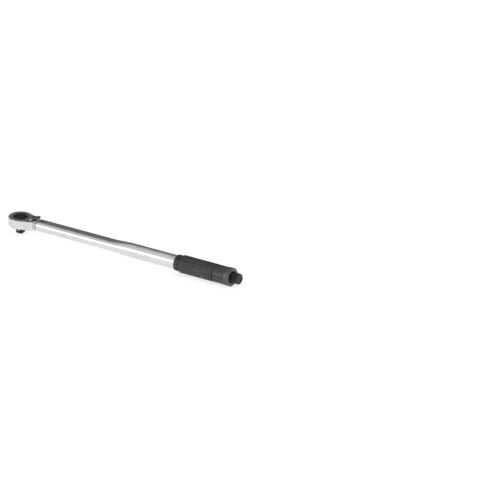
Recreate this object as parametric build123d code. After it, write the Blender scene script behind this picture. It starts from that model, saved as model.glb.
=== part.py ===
from build123d import *
import os
from math import asin, cos, degrees, pi, radians, sin, tan

# Half-inch click torque wrench, 42 to 210 N.m, about 475 mm long.
# X runs along the tube from the drive to the handle and Z is up.
# The origin is the centre of the square drive's end face. Millimetres.

os.makedirs("parts", exist_ok=True)

# Running fit, and the gap between bodies that pass each other.
FIT = 0.05
GAP = 0.3

# Tube
AXIS_Z = 23.5
TUBE_WALL = 2.0
TUBE_FRONT_X = 38.5
FLAT_END_X = 185.0
ROUND_START_X = 238.0
TUBE_REAR_X = 402.0
FLAT_W = 25.0
FLAT_H = 17.5
FLAT_R = 8.0
TUBE_D = 25.4
TUBE_IN_R = TUBE_D / 2 - TUBE_WALL

# Ratchet head
HEAD_R = 21.5
NECK_R = 11.5
NECK_CENTRE_X = 31.0
NECK_X = 33.0
HEAD_Z0 = 14.0
HEAD_Z1 = 30.5
TANGENT = asin((HEAD_R - NECK_R) / NECK_CENTRE_X)
HEAD_BOTTOM_R = 3.0
HEAD_TOP_R = 0.8
FLOOR_Z = 17.0
PLATE_T = 2.0
PLATE_Z = HEAD_Z1 - PLATE_T
PLATE_INSET = 1.4
LEDGE_Z = 26.6
COUNTERBORE_R = 14.5
COVER_BOSS_R = 12.9
COVER_TOP_Z = 31.1
SCREW_X = 15.5
SCREW_Y = 13.2
SCREW_HEAD_R = 2.2
SCREW_R = 1.25
SCREW_L = 5.0
RING_L = 3.2
RING_W = 22.6
RING_H = 15.6
RING_R = 4.5

# Lever arm inside the tube
PIVOT_X = 46.0
PIN_R = 4.0
PIN_DOME = 0.6
ARM_H = 11.0
ARM_W = 15.0
ARM_END_W = 8.4
ARM_END_H = 9.0
ARM_END_X = 227.0

# Drive gear
SQUARE = 12.7
SQUARE_CORNER_R = 8.1
TEETH = 36
TIP_R = 13.2
ROOT_R = 12.1
JOURNAL_R = 10.1
GEAR_Z0 = FLOOR_Z + GAP
GEAR_Z1 = 26.2
BALL_R = 2.0
BALL_Z = 6.7
BALL_OUT = 1.1

# Pawl and reversing lever
PAWL_X = 15.6
PAWL_PIN_R = 1.0
PAWL_PIN_DEPTH = 1.5
PAWL_SWING = 10.0
LEVER_X = 22.2
LEVER_REST = 33.0
SHAFT_R = 3.6
HUB_R = 5.0
HUB_Z0 = HEAD_Z1 + GAP
HUB_Z1 = HUB_Z0 + 3.5
PADDLE_L = 16.4
PADDLE_T = 1.6
PADDLE_W = 7.2
PADDLE_END_W = 11.2
LEVER_SCREW_R = 1.5
LEVER_SCREW_HEAD_R = 2.4
LEVER_SCREW_HEAD_T = 0.7
LEVER_SCREW_Z0 = 24.5
PLUNGER_R = 1.2
PLUNGER_TIP = 4.7
PLUNGER_TAIL = 2.0
PLUNGER_HOLE = 2.6
PLUNGER_Z = 21.5

# Click mechanism
BLOCK_L = 12.0
BLOCK_W = 8.0
BLOCK_X = ARM_END_X + 0.1
THRUST_X = BLOCK_X + BLOCK_L
THRUST_DISC_T = 13.9
SPRING_X0 = THRUST_X + THRUST_DISC_T
SPRING_X1 = 333.0
SPRING_WIRE_R = 1.9
SPRING_R = 8.1
SPRING_TURNS = 13
SEAT_T = 8.0
STEM_R = 5.8
STEM_L = 7.0
BALL_THRUST_R = 3.0
SCREW_X0 = 345.0
ADJ_SCREW_R = 7.0
NUT_X0 = 385.0
NUT_X1 = 400.0
NUT_PIN_R = 1.5

# Handle
THIMBLE_X0 = 324.5
THIMBLE_X1 = 336.0
THIMBLE_R = 14.4
SLEEVE_IN_R = TUBE_D / 2 + FIT
SLEEVE_R = 14.2
GRIP_X1 = 404.0
GRIP_R = 16.1
FLUTES = 12
FLUTE_R = 3.8
FLUTE_CENTRE_R = 19.3
FLUTE_MARGIN = 6.0
LUG_X0 = 404.5
HANDLE_X1 = 427.6
LUG_R = 15.9
LUGS = 12
LUG_W = 4.4
LUG_T = 1.5
LUG_MARGIN = 2.5
LUG_TURN = 7.5
BUSH_X0 = 424.6
BUSH_X1 = 430.0
BUSH_R = 13.15
BUSH_SCREW_R = 1.2
BUSH_SCREW_HEAD_R = 2.2
BUSH_SCREW_HEAD_T = 1.4
BUSH_SCREW_CIRCLE_R = 8.4
BUSH_SCREW_TURNS = (90, 210, 330)
COLLAR_X1 = 438.8
COLLAR_R = 16.4
COLLAR_BORE_R = 10.8
COLLAR_GROOVE_X = 4.6
COLLAR_GROOVE_W = 1.2
COLLAR_GROOVE_D = 0.5
KNOB_X1 = 453.5
KNOB_X0 = 439.4
KNOB_R = 9.6
KNOB_NOTCHES = 36
KNOB_NOTCH = 0.7
KNOB_MARGIN = 1.6
KNOB_RECESS_R = 5.5
KNOB_RECESS_D = 1.2
WASHER_X0 = 431.8
WASHER_T = 2.2
WASHER_R = 9.0
STUD_R = 3.5
STUD_L = 10.0
STUD_HOLE_L = 14.0


def save(name, shape):
    export_step(shape, f"parts/{name}.step")


def ring(radius, inner, x0, x1):
    """Tube about the wrench axis from x0 to x1."""
    body = rod(radius, x0, x1)
    return body - rod(inner, x0 - 1, x1 + 1)


def rod(radius, x0, x1):
    """Round bar about the wrench axis from x0 to x1."""
    return Plane(origin=(x0, 0, AXIS_Z), z_dir=(1, 0, 0)) * Cylinder(
        radius, x1 - x0, align=(Align.CENTER, Align.CENTER, Align.MIN)
    )


def post(radius, z0, z1, x=0.0, y=0.0):
    """Upright round bar from z0 to z1."""
    return Pos(x, y, z0) * Cylinder(radius, z1 - z0, align=(Align.CENTER, Align.CENTER, Align.MIN))


def chamfer_ends(shape, x0, x1, size):
    """Chamfer the outer circular edges at both ends of a part turned about the wrench axis."""
    circles = shape.edges().filter_by(GeomType.CIRCLE)
    biggest = max(edge.radius for edge in circles)
    ends = [
        edge
        for edge in circles
        if abs(edge.radius - biggest) < 0.01 and min(abs(edge.center().X - x0), abs(edge.center().X - x1)) < 0.01
    ]
    return chamfer(ends, size)


def coil(pitch, turns, radius, wire):
    """Round-wire compression spring that starts at the origin and grows along +Z."""
    helix = Helix(pitch, pitch * turns, radius)
    section = Plane(origin=helix @ 0, z_dir=helix % 0) * Circle(wire)
    return sweep(section, path=helix, is_frenet=True)


# ---- Ratchet head ----


def pear(inset):
    """Outline of the head from above, moved in by inset."""
    big = HEAD_R - inset
    end_x = NECK_X - inset
    side_x = big * sin(TANGENT)
    side_y = big * cos(TANGENT)
    end_y = side_y - (end_x - side_x) * tan(TANGENT)
    nose = ThreePointArc((side_x, -side_y), (-big, 0), (side_x, side_y))
    tail = Polyline((side_x, side_y), (end_x, end_y), (end_x, -end_y), (side_x, -side_y))
    return make_face([nose, tail])


def slab(outline, z0, z1):
    return Pos(0, 0, z0) * extrude(outline, z1 - z0)


def lever_arm():
    """Bar from the neck down the tube to the toggle block."""
    start = Plane(origin=(NECK_X - 2, 0, AXIS_Z), x_dir=(0, 1, 0), z_dir=(1, 0, 0))
    end = Plane(origin=(ARM_END_X, 0, AXIS_Z), x_dir=(0, 1, 0), z_dir=(1, 0, 0))
    near = start * Rectangle(ARM_W, ARM_H)
    far = end * Rectangle(ARM_END_W, ARM_END_H)
    return loft([near, far])


def pawl_pocket():
    """Room in the head for the pawl to rock."""
    near, middle, far = 8.0, 16.5, 20.6
    half, narrow = 10.8, 4.6
    side = [(near, half), (middle, half), (far, narrow)]
    other = [(x, -y) for x, y in reversed(side)]
    return slab(make_face(Polyline(*side, *other, close=True)), FLOOR_Z, PLATE_Z)


def ratchet_head():
    body = slab(pear(0), HEAD_Z0, HEAD_Z1)
    flat_edges = body.edges().filter_by_position(Axis.X, -HEAD_R - 1, NECK_X - 0.1)
    body = fillet(flat_edges.filter_by_position(Axis.Z, HEAD_Z0 - 0.1, HEAD_Z0 + 0.1), HEAD_BOTTOM_R)
    flat_edges = body.edges().filter_by_position(Axis.X, -HEAD_R - 1, NECK_X - 0.1)
    body = fillet(flat_edges.filter_by_position(Axis.Z, HEAD_Z1 - 0.1, HEAD_Z1 + 0.1), HEAD_TOP_R)
    body += lever_arm()
    body -= slab(pear(PLATE_INSET), PLATE_Z, HEAD_Z1 + 1)
    body -= post(TIP_R + GAP, FLOOR_Z, PLATE_Z)
    body -= post(COUNTERBORE_R, LEDGE_Z, PLATE_Z)
    body -= post(JOURNAL_R + FIT, HEAD_Z0 - 1, FLOOR_Z)
    body -= pawl_pocket()
    body -= post(SHAFT_R + FIT, FLOOR_Z, PLATE_Z, LEVER_X)
    body -= post(PAWL_PIN_R, FLOOR_Z - PAWL_PIN_DEPTH, FLOOR_Z, PAWL_X)
    body -= post(PIN_R + FIT, 0, 2 * AXIS_Z, PIVOT_X)
    for side in (-1, 1):
        body -= post(SCREW_R, PLATE_Z - SCREW_L - 1, PLATE_Z, SCREW_X, side * SCREW_Y)
    return body


def screw_head_cone():
    return Cone(SCREW_R, SCREW_HEAD_R, SCREW_HEAD_R - SCREW_R, align=(Align.CENTER, Align.CENTER, Align.MAX))


def cover_plate():
    plate = slab(pear(PLATE_INSET + 0.1), PLATE_Z, HEAD_Z1)
    plate = chamfer(plate.edges().filter_by_position(Axis.Z, HEAD_Z1 - 0.01, HEAD_Z1 + 0.01), 0.3)
    plate -= post(COVER_BOSS_R + 0.1, PLATE_Z - 1, HEAD_Z1 + 1)
    plate -= post(SHAFT_R + GAP, PLATE_Z - 1, HEAD_Z1 + 1, LEVER_X)
    for side in (-1, 1):
        plate -= post(SCREW_R, PLATE_Z - 1, HEAD_Z1, SCREW_X, side * SCREW_Y)
        plate -= Pos(SCREW_X, side * SCREW_Y, HEAD_Z1) * screw_head_cone()
    return plate


def cover_screw(side):
    """Countersunk screw with a cross recess."""
    screw = post(SCREW_R, PLATE_Z - SCREW_L, HEAD_Z1 - 0.5)
    screw += Pos(0, 0, HEAD_Z1) * screw_head_cone()
    slot = Box(2.6, 0.6, 0.8)
    screw -= Pos(0, 0, HEAD_Z1) * slot
    screw -= Pos(0, 0, HEAD_Z1) * Rot(0, 0, 90) * slot
    return Pos(SCREW_X, side * SCREW_Y, 0) * screw


def gear_cover():
    """Black disc over the gear, held down by its flange under the cover plate."""
    boss = post(COVER_BOSS_R, LEDGE_Z, COVER_TOP_Z)
    boss = chamfer(boss.edges().sort_by(Axis.Z)[-1], 0.4)
    return boss + post(COUNTERBORE_R, LEDGE_Z, PLATE_Z)


def neck_ring():
    """Dust ring round the lever arm between the head and the tube."""
    outline = Plane(origin=(NECK_X + 2 * GAP, 0, AXIS_Z - 1), x_dir=(0, 1, 0), z_dir=(1, 0, 0))
    body = extrude(outline * RectangleRounded(RING_W, RING_H, RING_R), RING_L)
    return body - lever_arm()


def pawl_pin():
    return post(PAWL_PIN_R, FLOOR_Z - PAWL_PIN_DEPTH, PLATE_Z, PAWL_X)


# ---- Drive gear ----


def gear_outline(tip, root, tip_share, root_share):
    """Toothed outline; the shares are the parts of the pitch taken by a tooth's tip and its foot."""
    pitch = 2 * pi / TEETH
    points = []
    for tooth in range(TEETH):
        middle = tooth * pitch
        for radius, turn in (
            (root, -root_share / 2),
            (tip, -tip_share / 2),
            (tip, tip_share / 2),
            (root, root_share / 2),
        ):
            angle = middle + turn * pitch
            points.append((radius * cos(angle), radius * sin(angle)))
    return make_face(Polyline(*points, close=True))


def drive_gear():
    body = slab(gear_outline(TIP_R, ROOT_R, 0.2, 0.72), GEAR_Z0, GEAR_Z1)
    body += post(JOURNAL_R, HEAD_Z0 - 0.5, GEAR_Z0)
    square = Box(SQUARE, SQUARE, HEAD_Z0, align=(Align.CENTER, Align.CENTER, Align.MIN))
    square &= post(SQUARE_CORNER_R, 0, HEAD_Z0)
    square = chamfer(square.edges().group_by(Axis.Z)[0], 0.8)
    body += square
    body -= Pos(0, 0, BALL_Z) * Rot(90, 0, 0) * Cylinder(
        BALL_R + FIT, SQUARE / 2 + 3, align=(Align.CENTER, Align.CENTER, Align.MIN)
    ).moved(Pos(0, 0, -3))
    return body


def detent_ball():
    return Pos(0, -(SQUARE / 2 + BALL_OUT - BALL_R), BALL_Z) * Sphere(BALL_R)


def detent_spring():
    length = SQUARE / 2 + BALL_OUT - 2 * BALL_R + 3 - 0.8
    spring = coil(length / 5, 5, 1.3, 0.25)
    return Pos(0, 3 - 0.35, BALL_Z) * Rot(90, 0, 0) * spring


# ---- Pawl and reversing lever ----


def about_pawl_pin(angle):
    return Pos(PAWL_X, 0, 0) * Rot(0, 0, angle) * Pos(-PAWL_X, 0, 0)


def about_lever(angle):
    return Pos(LEVER_X, 0, 0) * Rot(0, 0, angle) * Pos(-LEVER_X, 0, 0)


def pawl():
    """Double-ended pawl, made in mid swing and then turned to its rest position."""
    side = [(18.7, 1.2), (18.7, 3.2), (16.5, 7.6), (13.8, 10.0), (11.6, 9.2), (9.6, 5.0), (13.0, 1.0)]
    other = [(x, -y) for x, y in reversed(side)]
    body = slab(make_face(Polyline(*side, *other, close=True)), GEAR_Z0, GEAR_Z1)
    body -= post(TIP_R + GAP, 0, 2 * AXIS_Z)
    body -= post(PAWL_PIN_R + FIT, 0, 2 * AXIS_Z, PAWL_X)
    clearance = slab(gear_outline(TIP_R + 0.15, ROOT_R + 0.15, 0.32, 0.84), 0, 2 * AXIS_Z)
    for swing in (-PAWL_SWING, -PAWL_SWING + 3, PAWL_SWING - 3, PAWL_SWING):
        body -= about_pawl_pin(-swing) * clearance
    for swing in (-PAWL_SWING, 0, PAWL_SWING):
        body -= about_pawl_pin(-swing) * post(SHAFT_R + GAP, 0, 2 * AXIS_Z, LEVER_X)
    steps = 9
    for step in range(steps):
        share = 2 * step / (steps - 1) - 1
        tip = plunger_tip(PLUNGER_R + 0.15)
        body -= about_pawl_pin(PAWL_SWING * share) * about_lever(LEVER_REST * share) * tip
    return about_pawl_pin(-PAWL_SWING) * body


def plunger_tip(radius):
    """Round-nosed plunger at the middle of the lever's throw."""
    centre = LEVER_X - PLUNGER_TIP + PLUNGER_R
    nose = Pos(centre, 0, PLUNGER_Z) * Sphere(radius)
    length = PLUNGER_TIP - PLUNGER_R - PLUNGER_TAIL
    body = Pos(centre, 0, PLUNGER_Z) * Rot(0, 90, 0) * Cylinder(
        radius, length, align=(Align.CENTER, Align.CENTER, Align.MIN)
    )
    return nose + body


def reverse_lever():
    shaft = post(SHAFT_R, GEAR_Z0, HUB_Z0, LEVER_X)
    hub = post(HUB_R, HUB_Z0, HUB_Z1, LEVER_X)
    near = PADDLE_W / 2
    far = PADDLE_END_W / 2
    end_x = LEVER_X + PADDLE_L
    outline = Polyline((LEVER_X, -near), (end_x, -far), (end_x, far), (LEVER_X, near), close=True)
    paddle = slab(make_face(outline), HUB_Z1 - PADDLE_T, HUB_Z1)
    paddle = fillet(paddle.edges().filter_by(Axis.Z).group_by(Axis.X)[-1], 2.0)
    top = hub + paddle
    top = chamfer(top.edges().filter_by_position(Axis.Z, HUB_Z1 - 0.01, HUB_Z1 + 0.01), 0.4)
    lever = shaft + top
    lever -= post(LEVER_SCREW_R, LEVER_SCREW_Z0 - 1, HUB_Z1 + 1, LEVER_X)
    hole_start = LEVER_X - SHAFT_R - 1
    lever -= Pos(hole_start, 0, PLUNGER_Z) * Rot(0, 90, 0) * Cylinder(
        PLUNGER_R + FIT, SHAFT_R + 1 + PLUNGER_HOLE, align=(Align.CENTER, Align.CENTER, Align.MIN)
    )
    return about_lever(LEVER_REST) * lever


def lever_screw():
    screw = post(LEVER_SCREW_R, LEVER_SCREW_Z0, HUB_Z1, LEVER_X)
    screw += post(LEVER_SCREW_HEAD_R, HUB_Z1, HUB_Z1 + LEVER_SCREW_HEAD_T, LEVER_X)
    screw -= Pos(LEVER_X, 0, HUB_Z1 + LEVER_SCREW_HEAD_T) * Box(3.4, 0.6, 0.7)
    return about_lever(LEVER_REST) * screw


def pawl_plunger():
    return about_lever(LEVER_REST) * plunger_tip(PLUNGER_R)


def plunger_spring():
    length = PLUNGER_HOLE + PLUNGER_TAIL - 0.4
    spring = Pos(LEVER_X - PLUNGER_TAIL + 0.2, 0, PLUNGER_Z) * Rot(0, 90, 0) * coil(length / 5, 5, 0.85, 0.18)
    return about_lever(LEVER_REST) * spring


# ---- Tube ----


def tube_section(x, width, height, radius):
    plane = Plane(origin=(x, 0, AXIS_Z), x_dir=(0, 1, 0), z_dir=(1, 0, 0))
    return plane * RectangleRounded(width, height, radius)


def tube_solid(inset, front, rear):
    """The tube's outer or inner form: flattened front, blend, round rear."""
    corner = TUBE_D / 2 - inset - 0.01
    flat = (FLAT_W - 2 * inset, FLAT_H - 2 * inset, FLAT_R - inset)
    round_part = (TUBE_D - 2 * inset, TUBE_D - 2 * inset, corner)
    body = extrude(tube_section(front, *flat), FLAT_END_X - front)
    body += loft([tube_section(FLAT_END_X, *flat), tube_section(ROUND_START_X, *round_part)])
    body += extrude(tube_section(ROUND_START_X, *round_part), rear - ROUND_START_X)
    return body


def tube():
    body = tube_solid(0, TUBE_FRONT_X, TUBE_REAR_X) - tube_solid(TUBE_WALL, TUBE_FRONT_X - 1, TUBE_REAR_X + 1)
    body -= post(PIN_R, 0, 2 * AXIS_Z, PIVOT_X)
    for side in (-1, 1):
        body -= nut_pin(side)
    return body


def pivot_pin():
    """Riveted pin with low domed heads."""
    top = AXIS_Z + FLAT_H / 2
    pin = post(PIN_R, 2 * AXIS_Z - top - PIN_DOME, top + PIN_DOME, PIVOT_X)
    return fillet(pin.edges().filter_by(GeomType.CIRCLE), PIN_DOME - FIT)


def tube_nut():
    """Threaded nut fixed in the tube by two pins."""
    body = ring(TUBE_IN_R - 0.02, ADJ_SCREW_R + FIT, NUT_X0, NUT_X1)
    for side in (-1, 1):
        body -= nut_pin(side)
    return body


def nut_pin(side):
    middle = (NUT_X0 + NUT_X1) / 2
    length = TUBE_D / 2 - ADJ_SCREW_R - 1.0
    pin = Cylinder(NUT_PIN_R, length, align=(Align.CENTER, Align.CENTER, Align.MIN))
    return Pos(middle, side * (TUBE_D / 2 - 0.1), AXIS_Z) * Rot(side * 90, 0, 0) * pin


# ---- Click mechanism ----


def toggle_block():
    body = Pos(BLOCK_X, 0, AXIS_Z) * Box(BLOCK_L, BLOCK_W, ARM_END_H, align=(Align.MIN, Align.CENTER, Align.CENTER))
    return chamfer(body.edges().filter_by(Axis.X), 0.5)


def thrust_plunger():
    body = rod(TUBE_IN_R - FIT, THRUST_X, SPRING_X0)
    body = chamfer_ends(body, THRUST_X, SPRING_X0, 0.6)
    for groove in (3.5, 9.0):
        body -= ring(TUBE_IN_R + 1, TUBE_IN_R - 0.7, THRUST_X + groove, THRUST_X + groove + 1.4)
    return body + rod(STEM_R, SPRING_X0, SPRING_X0 + STEM_L)


def main_spring():
    length = SPRING_X1 - SPRING_X0 - 2 * SPRING_WIRE_R
    spring = coil(length / SPRING_TURNS, SPRING_TURNS, SPRING_R, SPRING_WIRE_R)
    return Pos(SPRING_X0 + SPRING_WIRE_R, 0, AXIS_Z) * Rot(0, 90, 0) * spring


def spring_seat():
    body = rod(TUBE_IN_R - FIT, SPRING_X1, SPRING_X1 + SEAT_T)
    body = chamfer_ends(body, SPRING_X1, SPRING_X1 + SEAT_T, 0.6)
    body += rod(STEM_R, SPRING_X1 - STEM_L, SPRING_X1)
    return body - thrust_ball()


def thrust_ball(extra=0.0):
    centre = (SPRING_X1 + SEAT_T + SCREW_X0) / 2
    return Pos(centre, 0, AXIS_Z) * Rot(0, 90, 0) * Sphere(BALL_THRUST_R + extra)


# ---- Handle ----


def adjusting_screw():
    """Hollow screw, threaded in the tube nut and fixed to the handle by its bush."""
    body = rod(ADJ_SCREW_R, SCREW_X0, BUSH_X0)
    body = chamfer_ends(body, SCREW_X0, BUSH_X0, 0.8)
    body -= rod(STUD_R + GAP, BUSH_X0 - STUD_HOLE_L, BUSH_X0 + 1)
    return body - thrust_ball(GAP)


def handle_bush():
    """Disc that joins the screw to the handle sleeve."""
    body = ring(BUSH_R, STUD_R + GAP, BUSH_X0, BUSH_X1)
    for turn in BUSH_SCREW_TURNS:
        body -= bush_screw(turn)
    return body


def bush_screw(turn):
    """Flat-headed screw through the sleeve's end into the bush."""
    angle = radians(turn)
    place = Pos(BUSH_X0, BUSH_SCREW_CIRCLE_R * cos(angle), AXIS_Z + BUSH_SCREW_CIRCLE_R * sin(angle))
    upward = (Align.CENTER, Align.CENTER, Align.MIN)
    shank = Cylinder(BUSH_SCREW_R, BUSH_X1 - BUSH_X0, align=upward)
    head = Pos(0, 0, BUSH_X1 - BUSH_X0) * Cylinder(BUSH_SCREW_HEAD_R, BUSH_SCREW_HEAD_T, align=upward)
    return place * Rot(0, 90, 0) * (shank + head)


def bush_screws():
    return Compound([bush_screw(turn) for turn in BUSH_SCREW_TURNS])


def thimble():
    body = ring(THIMBLE_R, SLEEVE_IN_R, THIMBLE_X0, THIMBLE_X1)
    front = [
        edge
        for edge in body.edges().filter_by(GeomType.CIRCLE)
        if edge.radius > THIMBLE_R - 0.1 and edge.center().X < THIMBLE_X0 + 0.1
    ]
    return chamfer(front, 0.9)


def handle_sleeve():
    return ring(SLEEVE_R, BUSH_R, THIMBLE_X1, HANDLE_X1)


def grip():
    """Moulded grip with shallow flutes along it."""
    body = ring(GRIP_R, SLEEVE_R, THIMBLE_X1, GRIP_X1)
    body = chamfer_ends(body, THIMBLE_X1, GRIP_X1, 1.0)
    length = GRIP_X1 - THIMBLE_X1 - 2 * FLUTE_MARGIN
    cutter = Cylinder(FLUTE_R, length, align=(Align.CENTER, Align.CENTER, Align.MIN))
    for flute in range(FLUTES):
        angle = 2 * pi * flute / FLUTES
        place = Pos(
            THIMBLE_X1 + FLUTE_MARGIN, FLUTE_CENTRE_R * cos(angle), AXIS_Z + FLUTE_CENTRE_R * sin(angle)
        )
        body -= place * Rot(0, 90, 0) * cutter
    return body


def lug_ring():
    """Ribbed rear ring of the grip."""
    body = ring(LUG_R - LUG_T + 0.2, SLEEVE_R, LUG_X0, HANDLE_X1)
    length = HANDLE_X1 - LUG_X0 - 2 * LUG_MARGIN
    lug = Box(length, LUG_W, LUG_T, align=(Align.MIN, Align.CENTER, Align.MAX))
    lug = chamfer(lug.edges().group_by(Axis.Z)[-1], 0.5)
    for index in range(LUGS):
        turn = 360 * index / LUGS + LUG_TURN
        body += Pos(LUG_X0 + LUG_MARGIN, 0, AXIS_Z) * Rot(turn, 0, 0) * Pos(0, 0, LUG_R) * lug
    return body


def end_collar():
    """Metal end ring of the handle, screwed over the sleeve's rear end."""
    body = ring(COLLAR_R, COLLAR_BORE_R, HANDLE_X1, COLLAR_X1)
    body = chamfer_ends(body, HANDLE_X1, COLLAR_X1, 1.0)
    groove = HANDLE_X1 + COLLAR_GROOVE_X
    body -= ring(COLLAR_R + 1, COLLAR_R - COLLAR_GROOVE_D, groove, groove + COLLAR_GROOVE_W)
    return body - rod(BUSH_R, HANDLE_X1 - 1, BUSH_X1)


# ---- Lock ----


def lock_washer():
    """Sliding washer that the knob presses against the bush."""
    body = ring(WASHER_R, STUD_R + FIT, WASHER_X0, WASHER_X0 + WASHER_T)
    return chamfer_ends(body, WASHER_X0, WASHER_X0 + WASHER_T, 0.3)


def lock_stud():
    """Stud of the lock knob, running in the hollow end of the adjusting screw."""
    return rod(STUD_R, BUSH_X0 - STUD_L, KNOB_X0)


def lock_knob():
    body = rod(KNOB_R, KNOB_X0, KNOB_X1)
    body = chamfer_ends(body, KNOB_X0, KNOB_X1, 1.0)
    length = KNOB_X1 - KNOB_X0 - 2 * KNOB_MARGIN
    cutter = Box(length, KNOB_NOTCH, KNOB_NOTCH, align=(Align.MIN, Align.CENTER, Align.CENTER))
    for notch in range(KNOB_NOTCHES):
        angle = 2 * pi * notch / KNOB_NOTCHES
        place = Pos(KNOB_X0 + KNOB_MARGIN, KNOB_R * cos(angle), AXIS_Z + KNOB_R * sin(angle))
        body -= place * Rot(degrees(angle) + 45, 0, 0) * cutter
    return body - rod(KNOB_RECESS_R, KNOB_X1 - KNOB_RECESS_D, KNOB_X1 + 1)


PARTS = {
    "ratchet_head": ratchet_head,
    "cover_plate": cover_plate,
    "cover_screw_right": lambda: cover_screw(-1),
    "cover_screw_left": lambda: cover_screw(1),
    "gear_cover": gear_cover,
    "neck_ring": neck_ring,
    "pawl_pin": pawl_pin,
    "drive_gear": drive_gear,
    "detent_ball": detent_ball,
    "detent_spring": detent_spring,
    "pawl": pawl,
    "reverse_lever": reverse_lever,
    "lever_screw": lever_screw,
    "pawl_plunger": pawl_plunger,
    "plunger_spring": plunger_spring,
    "tube": tube,
    "pivot_pin": pivot_pin,
    "tube_nut": tube_nut,
    "nut_pin_right": lambda: nut_pin(-1),
    "nut_pin_left": lambda: nut_pin(1),
    "toggle_block": toggle_block,
    "thrust_plunger": thrust_plunger,
    "main_spring": main_spring,
    "spring_seat": spring_seat,
    "thrust_ball": thrust_ball,
    "adjusting_screw": adjusting_screw,
    "handle_bush": handle_bush,
    "bush_screws": bush_screws,
    "handle_sleeve": handle_sleeve,
    "thimble": thimble,
    "grip": grip,
    "grip_lug_ring": lug_ring,
    "end_collar": end_collar,
    "lock_washer": lock_washer,
    "lock_stud": lock_stud,
    "lock_knob": lock_knob,
}

for part_name, make in PARTS.items():
    save(part_name, make())
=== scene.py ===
from math import acos, asin, atan2, cos, pi, radians, sin, tan

import bmesh
import bpy
from mathutils import Matrix, Vector

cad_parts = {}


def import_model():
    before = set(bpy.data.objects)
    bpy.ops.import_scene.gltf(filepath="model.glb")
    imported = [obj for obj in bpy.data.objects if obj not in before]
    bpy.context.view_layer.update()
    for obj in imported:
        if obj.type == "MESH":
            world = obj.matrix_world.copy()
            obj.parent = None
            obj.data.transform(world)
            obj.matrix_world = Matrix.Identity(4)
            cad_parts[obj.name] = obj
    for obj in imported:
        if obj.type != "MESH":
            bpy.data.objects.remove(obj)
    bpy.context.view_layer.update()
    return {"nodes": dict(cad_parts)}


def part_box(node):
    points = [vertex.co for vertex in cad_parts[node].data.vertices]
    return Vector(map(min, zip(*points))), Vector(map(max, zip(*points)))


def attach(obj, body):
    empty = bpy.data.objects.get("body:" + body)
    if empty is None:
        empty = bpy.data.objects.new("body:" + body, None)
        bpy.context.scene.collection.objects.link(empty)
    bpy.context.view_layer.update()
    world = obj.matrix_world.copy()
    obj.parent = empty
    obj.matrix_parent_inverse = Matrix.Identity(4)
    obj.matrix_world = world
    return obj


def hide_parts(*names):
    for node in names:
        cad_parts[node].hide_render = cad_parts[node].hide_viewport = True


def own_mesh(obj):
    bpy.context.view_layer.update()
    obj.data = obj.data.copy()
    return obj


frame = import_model()

MM = 0.001


# ---- sizes from the frame ----


def span(node):
    """First x, last x and half width of a CAD node."""
    low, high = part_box(node)
    return low.x, high.x, (high.y - low.y) / 2


def centre_z(node):
    low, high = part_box(node)
    return (low.z + high.z) / 2


TUBE_X0, TUBE_X1, TUBE_R = span("tube")
AXIS_Z = centre_z("thrust_plunger")
HEAD_LOW, HEAD_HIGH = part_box("ratchet_head")
HEAD_R = -HEAD_LOW.x
HEAD_Z0 = HEAD_LOW.z
HEAD_Z1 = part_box("cover_plate")[1].z
PLATE_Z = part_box("cover_plate")[0].z
LEDGE_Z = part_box("gear_cover")[0].z
GEAR_Z0 = 17.3 * MM
GEAR_Z1 = LEDGE_Z - 0.4 * MM
PLUNGER_Z = centre_z("pawl_plunger")
NECK_R = 11.5 * MM
NECK_CENTRE_X = 31.0 * MM
NECK_X = 33.0 * MM
ARM_W, ARM_H = 15.0 * MM, 11.0 * MM
ARM_END_W, ARM_END_H = 8.4 * MM, 9.0 * MM
ARM_EDGE_R = 1.0 * MM
JOURNAL_R = 10.1 * MM
BALL_HOLE_R = 2.05 * MM
PIN_HEAD_R = 4.0 * MM
SCREW_X, SCREW_Y = 15.5 * MM, 13.2 * MM
TANGENT = asin((HEAD_R - NECK_R) / NECK_CENTRE_X)
LEVER_X = 22.2 * MM
LEVER_REST = radians(33.0)
LEVER_PLACE = Matrix.Translation((LEVER_X, 0, 0)) @ Matrix.Rotation(LEVER_REST, 4, "Z")
PIVOT_X = (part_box("pivot_pin")[0].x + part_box("pivot_pin")[1].x) / 2


# ---- mesh helpers ----


def link(name, mesh):
    """New object in the scene."""
    obj = bpy.data.objects.new(name, mesh)
    bpy.context.scene.collection.objects.link(obj)
    return obj


def build(name, verts, faces, sharp=32.0):
    """Mesh object with outward normals, smooth except at edges sharper than the given angle."""
    mesh = bpy.data.meshes.new(name)
    mesh.from_pydata([tuple(v) for v in verts], [], faces)
    tidy(mesh, sharp)
    return link(name, mesh)


def tidy(mesh, sharp=32.0):
    """Merges doubles, turns normals outward and sets the shading."""
    bm = bmesh.new()
    bm.from_mesh(mesh)
    bmesh.ops.remove_doubles(bm, verts=bm.verts, dist=2e-7)
    bmesh.ops.dissolve_degenerate(bm, edges=bm.edges, dist=1e-7)
    bmesh.ops.recalc_face_normals(bm, faces=bm.faces)
    bm.to_mesh(mesh)
    bm.free()
    mesh.shade_smooth()
    mesh.set_sharp_from_angle(angle=radians(sharp))


def finish_piece(obj, body, material, slot, *replaced):
    """Gives a piece its material and the CAD body that it moves with; the slot argument is not used."""
    obj.data.materials.clear()
    obj.data.materials.append(material)
    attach(obj, body)
    if replaced:
        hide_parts(*replaced)
    return obj


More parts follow.
